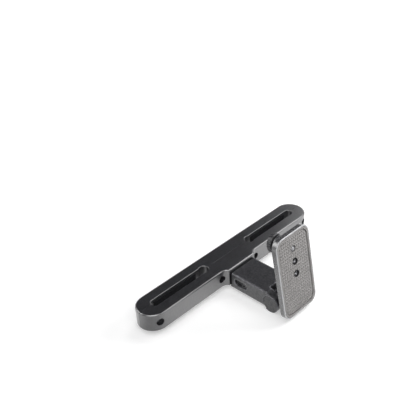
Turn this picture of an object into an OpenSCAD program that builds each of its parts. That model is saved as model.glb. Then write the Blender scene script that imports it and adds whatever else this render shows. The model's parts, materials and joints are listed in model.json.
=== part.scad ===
// Headrest mount for a portable player: a split rail clamps the two headrest posts,
// a telescoping arm stands out from its middle, and a tilting plate carries the player.
// X runs along the rail, -Y points to the passenger, +Z is up.
// The origin is the middle of the rail's underside.

/* [Rail] */
// Length of the clamp rail
rail_len = 286; // [264:1:320]
// Depth of both rail halves together, front to back
rail_wid = 39.4; // [38:0.2:46]
// Height of the rail
rail_h = 23; // [21:0.5:27]
// Rounding of the rail's top edge
edge_r = 2.2; // [1.4:0.1:3]
// Rounding of the rail's lower edge
foot_r = 1.2; // [0.6:0.1:2]
// Gap between the two closed halves
part_gap = 0.4; // [0.3:0.05:0.6]

/* [Post slots] */
// Width of each slot between the closed halves
slot_wid = 11; // [10:0.25:11.5]
// Distance from the rail's middle to the inner end of a slot
slot_in = 34.5; // [32:0.25:38]
// Wall between a slot's outer end and the rail's end
slot_end_wall = 18; // [17:0.5:24]
// Diameter of the round inner end of a slot
seat_d = 13; // [12:0.25:14]
// Bevel round the slot's upper lip
slot_lip = 0.3; // [0.2:0.1:0.6]

/* [Grip strips] */
// Height of a rubber grip strip
strip_h = 12; // [8:0.5:13]
// Thickness of a grip strip
strip_t = 2; // [1.6:0.1:2.6]
// How far a strip stands out of its groove
strip_proud = 0.75; // [0.4:0.05:1]
// Depth of a strip's upper edge below the rail's top
strip_drop = 4.5; // [3:0.5:6]
// Plain wall left between a strip and the slot's ends
strip_end_gap = 2; // [1:0.5:5]

/* [Clamp screws] */
// Shank diameter of a clamp screw
screw_d = 5; // [4:0.5:5]
// Head diameter of a clamp screw
screw_head_d = 8.5; // [8:0.1:8.8]
// Head height of a clamp screw
screw_head_h = 5; // [4:0.5:5.5]
// Diameter of the counterbore round a head
screw_bore_d = 9.2; // [9.1:0.1:9.6]
// Wall that a screw head bears on, from the parting plane
seat_wall = 8; // [7:0.25:9]
// Wall between a slot's end and the screw beside it
screw_wall = 1.4; // [1:0.1:1.8]
// Width across the flats of a clamp nut
nut_af = 8; // [7.6:0.1:8.4]
// Thickness of a clamp nut
nut_t = 4; // [3.5:0.25:4.5]
// How far the back half can be backed off
clamp_travel = 3.5; // [2:0.25:3.6]

/* [Moulded pockets] */
// Wall left between the pockets and every face near them
core_wall = 2.6; // [2:0.2:3.2]
// Thickness of the rib between two pockets
core_rib = 2.4; // [2:0.2:4]
// Thickness left above a pocket
core_roof = 3; // [2.4:0.2:5]

/* [Boss] */
// Distance from the parting plane to the boss's front face
boss_front = 24.5; // [23:0.5:28]
// Radius of the hollow flank between rail and boss
boss_fillet = 8; // [6:0.5:9]
// Depth of the socket that holds the tongue
socket_depth = 11.5; // [8:0.5:13]

/* [Arm] */
// Width of the arm
arm_wid = 41.4; // [39:0.2:45]
// Height of the arm
arm_h = 21.2; // [20:0.2:24]
// How far the arm's underside lies below the rail's
arm_drop = 3; // [1:0.25:5]
// Rounding of the arm's long edges
arm_edge_r = 2; // [1:0.25:3]
// Wall of the arm's sleeve
arm_wall = 3; // [2.4:0.2:3.4]
// Gap between the boss and the pushed-in arm
arm_gap = 0.6; // [0.4:0.1:1.2]
// Travel of the arm
arm_travel = 10; // [6:0.5:12]
// Clearance between the tongue and the sleeve on each side
slide_clear = 0.3; // [0.25:0.05:0.5]
// Length of the tongue in front of the boss
tongue_len = 38; // [34:0.5:40]
// Head diameter of a guide screw
guide_head_d = 8; // [7:0.25:8.5]
// Distance from the boss to the guide screws
guide_out = 20.8; // [19:0.2:23]

/* [Tilt hinge] */
// Distance from the boss to the hinge axis
pivot_out = 60.5; // [60:0.5:70]
// Height of the hinge axis above the rail's underside
pivot_z = 4; // [3:0.25:6]
// Radius of the arm's barrel end
barrel_r = 11.3; // [11:0.1:12]
// Radius of the bracket's knuckle
knuckle_r = 11; // [10:0.1:11]
// Width of the fork between the arm's two ears
fork_wid = 21; // [19:0.5:22]
// Thickness of a friction washer
washer_t = 0.6; // [0.4:0.1:1]
// Diameter of the hinge bolt
bolt_d = 6; // [5:0.25:6]
// Radial running clearance of the bolt in the knuckle
bolt_run = 0.05; // [0.03:0.01:0.08]
// Side gap between the knuckle and each friction washer
knuckle_gap = 0.3; // [0.2:0.05:0.5]
// Thickness of the cap over a hinge end
cap_t = 2; // [1.6:0.1:2.4]
// Radius of the cap over a hinge end
cap_r = 10.2; // [9.6:0.1:10.2]

/* [Plate] */
// Width of the plate
plate_wid = 56.8; // [52:0.2:64]
// Height of the plate
plate_len = 102; // [94:0.5:110]
// Thickness of the plate at its rim
plate_t = 6.5; // [6:0.25:8]
// Corner radius of the plate
plate_corner = 11.6; // [9:0.2:14]
// Width of the raised rim round the pad
rim_wid = 1.6; // [1.4:0.1:2.4]
// Rounding of the rim's outer edge
rim_r = 1; // [0.5:0.1:1.2]
// Thickness of the grip pad
pad_t = 2; // [1.5:0.1:2.5]
// Width of the groove between the pad and the rim
pad_gap = 0.4; // [0.1:0.05:0.6]
// Distance from the hinge axis to the pad's face
plate_reach = 28.8; // [28:0.2:32]
// Distance from the hinge axis up to the plate's middle
plate_rise = 40.6; // [40:0.2:46]
// Lean of the plate towards the rail at rest, in degrees
plate_lean = 9.5; // [0:0.5:15]
// Diameter of the holes through plate and bracket
hole_d = 6.5; // [6.45:0.01:6.55]
// Wall of the steel bush in each free hole
bush_wall = 1; // [0.8:0.1:1.5]
// Distance between two neighbouring holes
hole_pitch = 15.8; // [14:0.1:17]
// Distance from the plate's upper edge to its top hole
hole_down = 20.5; // [19:0.5:24]

/* [Bracket and knob] */
// Depth of the bracket's spine, from the plate's back
spine_depth = 14.5; // [13:0.5:16]
// Radius of the spine's rounded top
spine_r = 11; // [10.5:0.1:12]
// Thickness of the flange screwed to the plate
flange_t = 3; // [2.4:0.2:4]
// Width of the flange
flange_wid = 38; // [36:0.5:40]
// Thickness of the spine's side walls
spine_wall = 2.6; // [2:0.2:3]
// Diameter of the knob's threaded stud
stud_d = 6.35; // [6.3:0.01:6.38]
// Thickness of the washer behind the spine
collar_t = 3; // [2:0.25:4]
// Diameter of the washer behind the spine
collar_d = 21.6; // [17:0.2:22]
// Gap between the knob and its washer while the knob is loose
knob_gap = 0.3; // [0.2:0.05:0.6]
// Radius of the knob
knob_r = 11.3; // [10.5:0.1:13]
// Thickness of the knob
knob_t = 6; // [5:0.25:9]
// Grooves round the knob's rim
knob_flutes = 24; // [16:1:28]

/* [Hidden] */
$fn = 48;

// Reach of a cutting shape past the face that it opens
past = 1;
// Gap round a piece that is pushed or screwed into its seat
seat_gap = 0.05;
// Depth left free beyond a screw's tip
tip_gap = 0.3;
// Gap between a screw shank and the hole that it passes
shank_gap = 0.15;

// Rail
half_wid = rail_wid / 2;
end_x = rail_len / 2 - half_wid;
slot_out = rail_len / 2 - slot_end_wall;
slot_r = slot_wid / 2;
seat_r = seat_d / 2;
seat_x = slot_in + seat_r;
slot_end_x = slot_out - slot_r;

// Grip strips
strip_x0 = slot_in + seat_d + strip_end_gap;
strip_x1 = slot_end_x - strip_end_gap;
strip_top = rail_h - strip_drop;
groove_depth = strip_t - strip_proud;

// Clamp screws and nuts, in the rail's mid height
screw_z = rail_h / 2;
screw_hole_r = screw_d / 2 + shank_gap;
screw_in_x = slot_in - screw_wall - screw_hole_r;
screw_out_x = slot_out + screw_wall + screw_hole_r;
screw_xs = [-screw_out_x, -screw_in_x, screw_in_x, screw_out_x];
nut_seat = seat_wall + 1;
screw_tip = nut_seat + nut_t + clamp_travel + tip_gap;
key_d = screw_d * 0.8;

// Pockets moulded into the underside
core_out_y = half_wid - core_wall;
core_in_y = slot_r + groove_depth + core_wall;
core_round = 1.5;
screw_block = screw_bore_d / 2 + core_wall;
nut_block = nut_af / 2 / cos(30) + core_wall;
core_len = 20;
mid_core_in = screw_in_x - screw_block;

// Boss and its socket
boss_end_x = arm_wid / 2 + 1.5;
flank_x = boss_end_x + boss_fillet;
flank_y = -half_wid - boss_fillet;
boss_back = half_wid / 2;
arm_bottom = -arm_drop;
arm_top = arm_h - arm_drop;
arm_mid_z = (arm_top + arm_bottom) / 2;

// Tongue
tongue_half = arm_wid / 2 - arm_wall - slide_clear;
tongue_low = arm_bottom + arm_wall + slide_clear;
tongue_top = arm_top - arm_wall - slide_clear;
tongue_back = -boss_front + socket_depth;
tongue_tip = -boss_front - tongue_len;
tongue_edge = 1.2;
guide_y = -boss_front - guide_out;
guide_z = arm_mid_z + 0.8;
guide_head_h = arm_wall + slide_clear - 0.5;
guide_slot_r = guide_head_d / 2 + 0.5;
guide_shank_d = guide_head_d / 2;
guide_shank_len = 8;
tongue_screw_x = tongue_half * 0.6;
tongue_screw_d = 4;
tongue_screw_head_d = 7;
tongue_screw_head_h = 3;
tongue_screw_len = 16;
tongue_screw_head_y = tongue_back + 4;

// Arm
arm_root = -boss_front - arm_gap;
sleeve_end = tongue_tip - 3;
pivot_y = -boss_front - pivot_out;
ear_in = fork_wid / 2;
ear_out = arm_wid / 2;
shoulder_y = pivot_y + barrel_r / 2;
knuckle_room = 0.6;
fork_edge_y = pivot_y + barrel_r * 0.76;
cap_seat_r = cap_r + seat_gap;
cap_in = ear_out - cap_t;
bolt_af = bolt_d * 1.6;
bolt_head_h = bolt_d * 0.7;
bolt_seat = cap_in - bolt_head_h - 0.25;
bolt_pocket_r = bolt_af / 2 / cos(30) + 0.25;

// Bracket, seen from the hinge axis: local X is width, local Y points back, local Z runs up the plate
knuckle_half = ear_in - washer_t - knuckle_gap;
pad_front = -plate_reach;
pad_back = pad_front + pad_t;
plate_back = pad_front + plate_t;
flange_back = plate_back + flange_t;
spine_back = plate_back + spine_depth;
plate_low = plate_rise - plate_len / 2;
plate_high = plate_rise + plate_len / 2;
top_hole_z = plate_high - hole_down;
hole_zs = [top_hole_z, top_hole_z - hole_pitch, top_hole_z - 2 * hole_pitch];
flange_low = plate_low + 2;
spine_wide_z = shoulder_y - pivot_y + knuckle_r + 4;
flange_corner = 5;
flange_high = top_hole_z + 2;
flange_bottom = spine_wide_z - flange_corner;
hole_r = hole_d / 2;
plate_screw_x = flange_wid / 2 - flange_corner + 0.5;
plate_screw_low = spine_wide_z;
plate_screw_high = flange_high - flange_corner - 3;
plate_screw_d = 3;
plate_screw_head_d = 5.6;
plate_screw_head_h = 2;
plate_screw_len = flange_t + plate_t - pad_t - 1;
plate_screw_xs = [-plate_screw_x, plate_screw_x, -plate_screw_x, plate_screw_x];
plate_screw_zs = [plate_screw_low, plate_screw_low, plate_screw_high, plate_screw_high];

// Knob
collar_back = spine_back + collar_t;
knob_front = collar_back + knob_gap;
knob_back = knob_front + knob_t;
stud_tip = pad_front + 0.5;
stud_sink = knob_t * 0.7;
stud_head_d = stud_d + 4;
stud_head_t = 2.4;

// Colours
plastic = [0.23, 0.24, 0.26];
plastic_light = [0.33, 0.34, 0.36];
rubber = [0.09, 0.09, 0.1];
steel = [0.55, 0.56, 0.58];
pad_grey = [0.62, 0.6, 0.58];

// A bar's section from the middle plane out to its rounded outer edge
module edge_section(w, h, top_r, low_r) {
    square([w - top_r, h]);
    square([w - low_r, h - top_r]);
    translate([0, low_r]) square([w, h - top_r - low_r]);
    translate([w - top_r, h - top_r]) circle(r = top_r);
    translate([w - low_r, low_r]) circle(r = low_r);
}

// Lays a section drawn in X and Y into the plane across the rail, and draws it along X
module along_x(length) {
    translate([-length / 2, 0, 0]) rotate([90, 0, 90]) linear_extrude(height = length) children();
}

// A box whose upright edges are rounded
module round_box(x0, x1, y0, y1, z0, z1, r) {
    translate([x0 + r, y0, z0]) cube([x1 - x0 - 2 * r, y1 - y0, z1 - z0]);
    translate([x0, y0 + r, z0]) cube([x1 - x0, y1 - y0 - 2 * r, z1 - z0]);
    for (x = [x0 + r, x1 - r], y = [y0 + r, y1 - r])
        translate([x, y, z0]) cylinder(r = r, h = z1 - z0);
}

// A cylinder along X or Y, from one coordinate to another
module rod_x(x0, x1, r) {
    translate([x0, 0, 0]) rotate([0, 90, 0]) cylinder(r = r, h = x1 - x0);
}
module rod_y(y0, y1, r) {
    translate([0, y1, 0]) rotate([90, 0, 0]) cylinder(r = r, h = y1 - y0);
}

// A hexagonal prism along X or Y, measured across its flats
module hex_x(x0, x1, af) {
    translate([x0, 0, 0]) rotate([0, 90, 0]) cylinder(r = af / 2 / cos(30), h = x1 - x0, $fn = 6);
}
module hex_y(y0, y1, af) {
    translate([0, y1, 0]) rotate([90, 0, 0]) cylinder(r = af / 2 / cos(30), h = y1 - y0, $fn = 6);
}

// Half of the rail on the +Y side: a straight bar with a quarter-round end at each side
module rail_half_blank() {
    difference() {
        union() {
            along_x(2 * end_x) edge_section(half_wid, rail_h, edge_r, foot_r);
            for (side = [0, 1]) mirror([side, 0, 0])
                translate([end_x, 0, 0]) rotate_extrude(angle = 90)
                    edge_section(half_wid, rail_h, edge_r, foot_r);
        }
        translate([-rail_len, -rail_wid, -past]) cube([2 * rail_len, rail_wid + part_gap / 2, rail_h + 2 * past]);
    }
}

// The slot on the right: straight, with a small round outer end and a larger round seat at its inner end
module slot_cut() {
    translate([seat_x, -slot_r, -past]) cube([slot_end_x - seat_x, slot_wid, rail_h + 2 * past]);
    translate([slot_end_x, 0, -past]) cylinder(r = slot_r, h = rail_h + 2 * past);
    translate([seat_x, 0, -past]) cylinder(r = seat_r, h = rail_h + 2 * past);
    lip_z = rail_h - slot_lip;
    translate([slot_end_x, 0, lip_z]) cylinder(r1 = slot_r, r2 = slot_r + slot_lip, h = slot_lip);
    translate([seat_x, 0, lip_z]) cylinder(r1 = seat_r, r2 = seat_r + slot_lip, h = slot_lip);
    translate([seat_x, 0, 0]) rotate([90, 0, 90]) linear_extrude(height = slot_end_x - seat_x)
        polygon([
            [-slot_r, lip_z], [slot_r, lip_z],
            [slot_r + slot_lip, rail_h], [-slot_r - slot_lip, rail_h]
        ]);
}

// The groove that holds a grip strip on the +Y wall of the right slot
module strip_groove() {
    translate([strip_x0 - seat_gap, 0, strip_top - strip_h - seat_gap])
        cube([strip_x1 - strip_x0 + 2 * seat_gap, slot_r + groove_depth, strip_h + 2 * seat_gap]);
}

// One row of pockets from x0 to x1, open at the underside
module core_row(x0, x1, y0, y1) {
    count = max(1, floor((x1 - x0 + core_rib) / (core_len + core_rib)));
    pitch = (x1 - x0 + core_rib) / count;
    for (i = [0:count - 1])
        round_box(x0 + i * pitch, x0 + (i + 1) * pitch - core_rib, y0, y1,
            -past, rail_h - core_roof, core_round);
}

// Everything that both halves have cut out of them, drawn for the +Y side
module rail_half_cuts() {
    for (side = [0, 1]) mirror([side, 0, 0]) {
        slot_cut();
        strip_groove();
        core_row(screw_in_x + nut_block, screw_out_x - nut_block, core_in_y, core_out_y);
    }
    for (x = screw_xs)
        translate([x, 0, screw_z]) rod_y(-past, half_wid + past, screw_hole_r);
}

// A large block hollowed on its left by one flank, with the rail's edges rounded along the hollow
module flank_side() {
    reach = 2 * flank_x + rail_wid;
    translate([-flank_x, flank_y, 0]) rotate_extrude(angle = 90)
        translate([reach, 0]) mirror([1, 0])
            edge_section(reach - boss_fillet, rail_h, edge_r, foot_r);
}

// The boss's front part: hollow flanks at both sides and a rounded top edge all round
module boss_blank() {
    intersection() {
        mirror([0, 1, 0]) along_x(2 * flank_x) difference() {
            edge_section(boss_front, rail_h, edge_r, foot_r);
            translate([-past, -past]) square([boss_back + past, rail_h + 2 * past]);
        }
        flank_side();
        mirror([1, 0, 0]) flank_side();
    }
}

module rail_front() {
    color(plastic) difference() {
        union() {
            mirror([0, 1, 0]) rail_half_blank();
            boss_blank();
        }
        mirror([0, 1, 0]) rail_half_cuts();
        for (x = screw_xs)
            translate([x, 0, screw_z]) rod_y(-boss_front - past, -seat_wall, screw_bore_d / 2);
        // Socket for the tongue, and the two screws that hold it
        translate([-tongue_half - seat_gap, -boss_front - past, tongue_low - seat_gap])
            cube([
                2 * (tongue_half + seat_gap), socket_depth + past + seat_gap,
                tongue_top - tongue_low + 2 * seat_gap
            ]);
        for (x = [-tongue_screw_x, tongue_screw_x]) translate([x, 0, guide_z]) {
            rod_y(tongue_back - past, past, tongue_screw_d / 2 + shank_gap);
            rod_y(tongue_screw_head_y, past, tongue_screw_head_d / 2 + shank_gap);
        }
    }
}

module rail_back() {
    color(plastic) difference() {
        rail_half_blank();
        rail_half_cuts();
        for (x = screw_xs)
            translate([x, 0, screw_z]) hex_y(nut_seat, half_wid + past, nut_af + 2 * seat_gap);
        for (side = [0, 1]) mirror([side, 0, 0])
            core_row(core_rib / 2, screw_in_x - nut_block, core_in_y - groove_depth, core_out_y);
    }
}

// A grip strip on the +Y wall of the right slot
module strip_blank() {
    lead = strip_proud;
    translate([0, 0, strip_top - strip_h]) linear_extrude(height = strip_h)
        polygon([
            [strip_x0, slot_r + groove_depth], [strip_x1, slot_r + groove_depth],
            [strip_x1, slot_r - strip_proud + lead], [strip_x1 - lead, slot_r - strip_proud],
            [strip_x0 + lead, slot_r - strip_proud], [strip_x0, slot_r - strip_proud + lead]
        ]);
}
module grip_strip(right, back) {
    color(rubber) mirror([right ? 0 : 1, 0, 0]) mirror([0, back ? 0 : 1, 0]) strip_blank();
}

// A socket-head screw along Y whose head bears on the front half
module clamp_screw(i) {
    color(steel) translate([screw_xs[i], 0, screw_z]) difference() {
        union() {
            rod_y(-seat_wall, screw_tip, screw_d / 2);
            rod_y(-seat_wall - screw_head_h, -seat_wall, screw_head_d / 2);
        }
        hex_y(-seat_wall - screw_head_h - past, -seat_wall - screw_head_h / 2, key_d);
    }
}

module clamp_nut(i) {
    color(steel) translate([screw_xs[i], 0, screw_z]) difference() {
        hex_y(nut_seat, nut_seat + nut_t, nut_af);
        rod_y(nut_seat - past, nut_seat + nut_t + past, screw_d / 2 + seat_gap);
    }
}

// The fixed bar that the arm slides on, held in the boss's socket
module slide_tongue() {
    color(plastic_light) difference() {
        rotate([-90, 0, 0]) translate([0, 0, tongue_tip])
            round_box(-tongue_half, tongue_half, -tongue_top, -tongue_low,
                0, tongue_back - tongue_tip, tongue_edge);
        for (side = [0, 1]) mirror([side, 0, 0])
            translate([0, guide_y, guide_z])
                rod_x(tongue_half - guide_shank_len, tongue_half + past, guide_shank_d / 2 + seat_gap);
        for (x = [-tongue_screw_x, tongue_screw_x]) translate([x, 0, guide_z])
            rod_y(tongue_screw_head_y - tongue_screw_len - past, tongue_back + past, tongue_screw_d / 2 + seat_gap);
        // Weight-saving well, open at the tip
        well = tongue_half * 0.8;
        translate([0, 0, tongue_low + arm_wall]) translate([-well, tongue_tip - past, 0])
            cube([2 * well, tongue_len * 0.3 + past, tongue_top - tongue_low - 2 * arm_wall]);
    }
}

module tongue_screw(side) {
    color(steel) translate([side * tongue_screw_x, 0, guide_z]) difference() {
        union() {
            rod_y(tongue_screw_head_y - tongue_screw_len, tongue_screw_head_y, tongue_screw_d / 2);
            rod_y(tongue_screw_head_y, tongue_screw_head_y + tongue_screw_head_h, tongue_screw_head_d / 2);
        }
        hex_y(tongue_screw_head_y + tongue_screw_head_h / 2, tongue_screw_head_y + tongue_screw_head_h + past,
            tongue_screw_d * 0.6);
    }
}

// Side outline of an ear, drawn with the hinge axis at the origin: square shoulder, sloping brow, round end
module ear_outline() {
    shoulder = [shoulder_y - pivot_y, arm_top - pivot_z];
    reach = norm(shoulder);
    tangent = atan2(shoulder.y, shoulder.x) + acos(barrel_r / reach);
    back = sleeve_end - pivot_y;
    low = arm_bottom - pivot_z;
    circle(r = barrel_r);
    polygon([
        [back, low], [back, shoulder.y], shoulder,
        [barrel_r * cos(tangent), barrel_r * sin(tangent)], [0, 0], [0, low]
    ]);
}

// Section across the arm, with its four long edges rounded
module arm_section() {
    x0 = -arm_wid / 2 + arm_edge_r;
    translate([x0, arm_bottom]) square([arm_wid - 2 * arm_edge_r, arm_h]);
    translate([-arm_wid / 2, arm_bottom + arm_edge_r]) square([arm_wid, arm_h - 2 * arm_edge_r]);
    for (x = [x0, -x0], z = [arm_bottom + arm_edge_r, arm_top - arm_edge_r])
        translate([x, z]) circle(r = arm_edge_r);
}

module arm_sleeve() {
    color(plastic) difference() {
        union() {
            translate([0, arm_root, 0]) rotate([90, 0, 0])
                linear_extrude(height = arm_root - shoulder_y) arm_section();
            for (side = [0, 1]) mirror([side, 0, 0])
                translate([ear_in, pivot_y, pivot_z]) rotate([90, 0, 90]) {
                    linear_extrude(height = ear_out - ear_in) intersection() {
                        ear_outline();
                        translate([-2 * barrel_r, -2 * barrel_r])
                            square([2 * barrel_r + shoulder_y - pivot_y, 5 * barrel_r]);
                    }
                    linear_extrude(height = ear_out - ear_in - arm_edge_r) ear_outline();
                }
        }
        // Room for the tongue
        translate([-tongue_half - slide_clear, sleeve_end, tongue_low - slide_clear])
            cube([
                2 * (tongue_half + slide_clear), arm_root - sleeve_end + past,
                tongue_top - tongue_low + 2 * slide_clear
            ]);
        // Fork for the knuckle
        translate([0, pivot_y, pivot_z]) rod_x(-ear_in, ear_in, knuckle_r + knuckle_room);
        translate([-ear_in, pivot_y - 2 * barrel_r, pivot_z])
            cube([fork_wid, fork_edge_y - pivot_y + 2 * barrel_r, arm_h]);
        translate([-ear_in, pivot_y - 2 * barrel_r, pivot_z - 2 * barrel_r])
            cube([fork_wid, 2 * barrel_r + knuckle_r * 0.7, 2 * barrel_r + past]);
        // Guide slots
        for (side = [0, 1]) mirror([side, 0, 0]) {
            translate([0, guide_y, guide_z]) rod_x(tongue_half, ear_out + past, guide_slot_r);
            translate([0, guide_y + arm_travel, guide_z]) rod_x(tongue_half, ear_out + past, guide_slot_r);
            translate([tongue_half, guide_y, guide_z - guide_slot_r])
                cube([ear_out - tongue_half + past, arm_travel, 2 * guide_slot_r]);
        }
        // Hinge bolt, its pockets and the seats of the caps
        translate([0, pivot_y, pivot_z]) {
            rod_x(-ear_out - past, ear_out + past, bolt_d / 2 + seat_gap);
            for (side = [0, 1]) mirror([side, 0, 0]) {
                rod_x(bolt_seat, ear_out + past, bolt_pocket_r);
                rod_x(cap_in, ear_out + past, cap_seat_r);
            }
        }
    }
}

// A button-head screw in the tongue's side, its head inside the arm's guide slot
module guide_screw(side) {
    color(steel) mirror([side > 0 ? 0 : 1, 0, 0]) translate([0, guide_y, guide_z]) difference() {
        union() {
            rod_x(tongue_half - guide_shank_len + past, tongue_half, guide_shank_d / 2);
            rod_x(tongue_half, tongue_half + guide_head_h / 2, guide_head_d / 2);
            translate([tongue_half + guide_head_h / 2, 0, 0]) rotate([0, 90, 0])
                cylinder(r1 = guide_head_d / 2, r2 = guide_head_d / 3, h = guide_head_h / 2);
        }
        hex_x(tongue_half + guide_head_h * 0.4, tongue_half + guide_head_h + past, guide_shank_d * 0.7);
    }
}

module hinge_bolt() {
    color(steel) translate([0, pivot_y, pivot_z]) {
        rod_x(-bolt_seat, bolt_seat + bolt_head_h, bolt_d / 2);
        hex_x(-bolt_seat - bolt_head_h, -bolt_seat, bolt_af);
    }
}

module hinge_nut() {
    color(steel) translate([0, pivot_y, pivot_z]) difference() {
        hex_x(bolt_seat, bolt_seat + bolt_head_h, bolt_af);
        rod_x(bolt_seat - past, bolt_seat + bolt_head_h + past, bolt_d / 2 + seat_gap);
    }
}

// A snap-in cap, slightly bevelled round its face
module hinge_cap(side) {
    bevel = cap_t * 0.3;
    color(plastic_light) mirror([side > 0 ? 0 : 1, 0, 0]) translate([0, pivot_y, pivot_z]) {
        rod_x(cap_in, ear_out - bevel, cap_r);
        translate([ear_out - bevel, 0, 0]) rotate([0, 90, 0]) cylinder(r1 = cap_r, r2 = cap_r - bevel, h = bevel);
    }
}

module friction_washer(side) {
    color(rubber) mirror([side > 0 ? 0 : 1, 0, 0]) translate([0, pivot_y, pivot_z]) difference() {
        rod_x(ear_in - washer_t, ear_in, knuckle_r - 1);
        rod_x(ear_in - washer_t - past, ear_in + past, bolt_d / 2 + seat_gap);
    }
}

// Places what tilts: the hinge axis becomes the origin and the plate's lean is taken up
module head_place() {
    translate([0, pivot_y, pivot_z]) rotate([-plate_lean, 0, 0]) children();
}

// A rounded slab standing in the plate's plane
module slab(wid, low, high, y0, y1, r) {
    translate([0, y1, 0]) rotate([90, 0, 0]) linear_extrude(height = y1 - y0) {
        translate([-wid / 2 + r, low]) square([wid - 2 * r, high - low]);
        translate([-wid / 2, low + r]) square([wid, high - low - 2 * r]);
        for (x = [-wid / 2 + r, wid / 2 - r], z = [low + r, high - r])
            translate([x, z]) circle(r = r);
    }
}

// The three holes for the thumb screw
module plate_holes() {
    for (z = hole_zs) translate([0, 0, z]) rod_y(pad_front - past, spine_back + past, hole_r);
}

// The spine's outline seen along the plate, narrow between the arm's ears and round at its top
module spine_outline(inset) {
    narrow = knuckle_half - inset;
    wide = spine_r - inset;
    translate([-narrow, flange_low + inset]) square([2 * narrow, top_hole_z - flange_low - inset]);
    translate([-wide, spine_wide_z + inset]) square([2 * wide, top_hole_z - spine_wide_z - inset]);
    translate([0, top_hole_z]) circle(r = wide);
}

// Side outline of the neck that carries the knuckle
module neck_outline() {
    circle(r = knuckle_r);
    polygon([
        [flange_back - past, flange_low], [0, -knuckle_r], [0, 0],
        [0, knuckle_r], [spine_back, spine_wide_z - 2], [flange_back - past, spine_wide_z - 2]
    ]);
}

module tilt_bracket() {
    color(plastic) head_place() difference() {
        union() {
            slab(flange_wid, flange_bottom, flange_high, plate_back, flange_back, flange_corner);
            translate([0, spine_back, 0]) rotate([90, 0, 0])
                linear_extrude(height = spine_back - plate_back) spine_outline(0);
            translate([-knuckle_half, 0, 0]) rotate([90, 0, 90])
                linear_extrude(height = 2 * knuckle_half) neck_outline();
        }
        // Channel in the spine's back, with a cross rib beside each hole
        difference() {
            translate([0, spine_back + past, 0]) rotate([90, 0, 0])
                linear_extrude(height = spine_back - flange_back + past) difference() {
                    spine_outline(spine_wall);
                    translate([-spine_r, flange_low - past])
                        square([2 * spine_r, spine_wide_z + spine_wall - flange_low + past]);
                }
            for (z = hole_zs) translate([0, 0, z]) rod_y(flange_back - past, spine_back, hole_r + spine_wall);
            for (z = [hole_zs[1], hole_zs[2], plate_screw_low + 2 * spine_wall])
                translate([-spine_r, flange_back - past, z - spine_wall / 2])
                    cube([2 * spine_r, spine_depth - flange_t + past - 2, spine_wall]);
        }
        plate_holes();
        rod_x(-ear_out, ear_out, bolt_d / 2 + bolt_run);
        for (i = [0:3]) translate([plate_screw_xs[i], 0, plate_screw_zs[i]])
            rod_y(plate_back - past, flange_back + past, plate_screw_d / 2 + shank_gap);
    }
}

// A steel bush pressed into a free hole of the plate, level with the pad's seat
module hole_bush(i) {
    color(steel) head_place() translate([0, 0, hole_zs[i]]) difference() {
        rod_y(pad_back, plate_back, hole_r + bush_wall);
        rod_y(pad_back - past, plate_back + past, hole_r);
    }
}

module plate_frame() {
    pad_wid = plate_wid - 2 * rim_wid;
    color(plastic) head_place() difference() {
        union() {
            slab(plate_wid, plate_low, plate_high, pad_front + rim_r, plate_back, plate_corner);
            // Stepped rounding of the rim
            slab(plate_wid - 2 * rim_r, plate_low + rim_r, plate_high - rim_r, pad_front, plate_back,
                plate_corner - rim_r);
            rim_bead();
        }
        slab(pad_wid, plate_low + rim_wid, plate_high - rim_wid, pad_front - past, pad_back,
            plate_corner - rim_wid);
        plate_holes();
        for (i = [1, 2]) translate([0, 0, hole_zs[i]])
            rod_y(pad_front, plate_back + past, hole_r + bush_wall + seat_gap);
        for (i = [0:3]) translate([plate_screw_xs[i], 0, plate_screw_zs[i]])
            rod_y(flange_back - plate_screw_len - tip_gap, plate_back + past, plate_screw_d / 2 + seat_gap);
        // Shallow relief in the back, beside the bracket
        relief_x = flange_wid / 2 + 1.5;
        for (side = [0, 1]) mirror([side, 0, 0])
            translate([relief_x, plate_back - 1.6, plate_low + plate_corner])
                cube([plate_wid / 2 - relief_x - 2.6, 1.6 + past, plate_len - 2 * plate_corner]);
    }
}

// The quarter-round bead along the rim's outer front edge
module rim_bead() {
    x = plate_wid / 2 - plate_corner;
    y = pad_front + rim_r;
    straight_z = plate_len - 2 * plate_corner;
    for (side = [-1, 1]) {
        translate([side * (plate_wid / 2 - rim_r), y, plate_rise - straight_z / 2])
            cylinder(r = rim_r, h = straight_z);
        translate([0, y, plate_rise + side * (plate_len / 2 - rim_r)]) rod_x(-x, x, rim_r);
    }
    for (sx = [0, 1], sz = [0, 1])
        translate([0, y, plate_rise]) mirror([sx, 0, 0]) mirror([0, 0, sz])
            translate([x, 0, straight_z / 2]) rotate([90, 0, 0]) rotate_extrude(angle = 90)
                translate([plate_corner - rim_r, 0]) circle(r = rim_r);
}

module grip_pad() {
    inset = rim_wid + pad_gap;
    color(pad_grey) head_place() difference() {
        slab(plate_wid - 2 * inset, plate_low + inset, plate_high - inset, pad_front, pad_back,
            plate_corner - inset);
        plate_holes();
    }
}

module plate_screw(i) {
    color(steel) head_place() translate([plate_screw_xs[i], 0, plate_screw_zs[i]]) difference() {
        union() {
            rod_y(flange_back - plate_screw_len, flange_back, plate_screw_d / 2);
            rod_y(flange_back, flange_back + plate_screw_head_h, plate_screw_head_d / 2);
        }
        for (turn = [0, 90]) rotate([0, turn, 0])
            translate([-plate_screw_d / 2, flange_back + plate_screw_head_h / 2, -0.4])
                cube([plate_screw_d, plate_screw_head_h, 0.8]);
    }
}

module collar_washer() {
    color(rubber) head_place() translate([0, 0, top_hole_z]) difference() {
        rod_y(spine_back, collar_back, collar_d / 2);
        rod_y(spine_back - past, collar_back + past, hole_r);
    }
}

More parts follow.
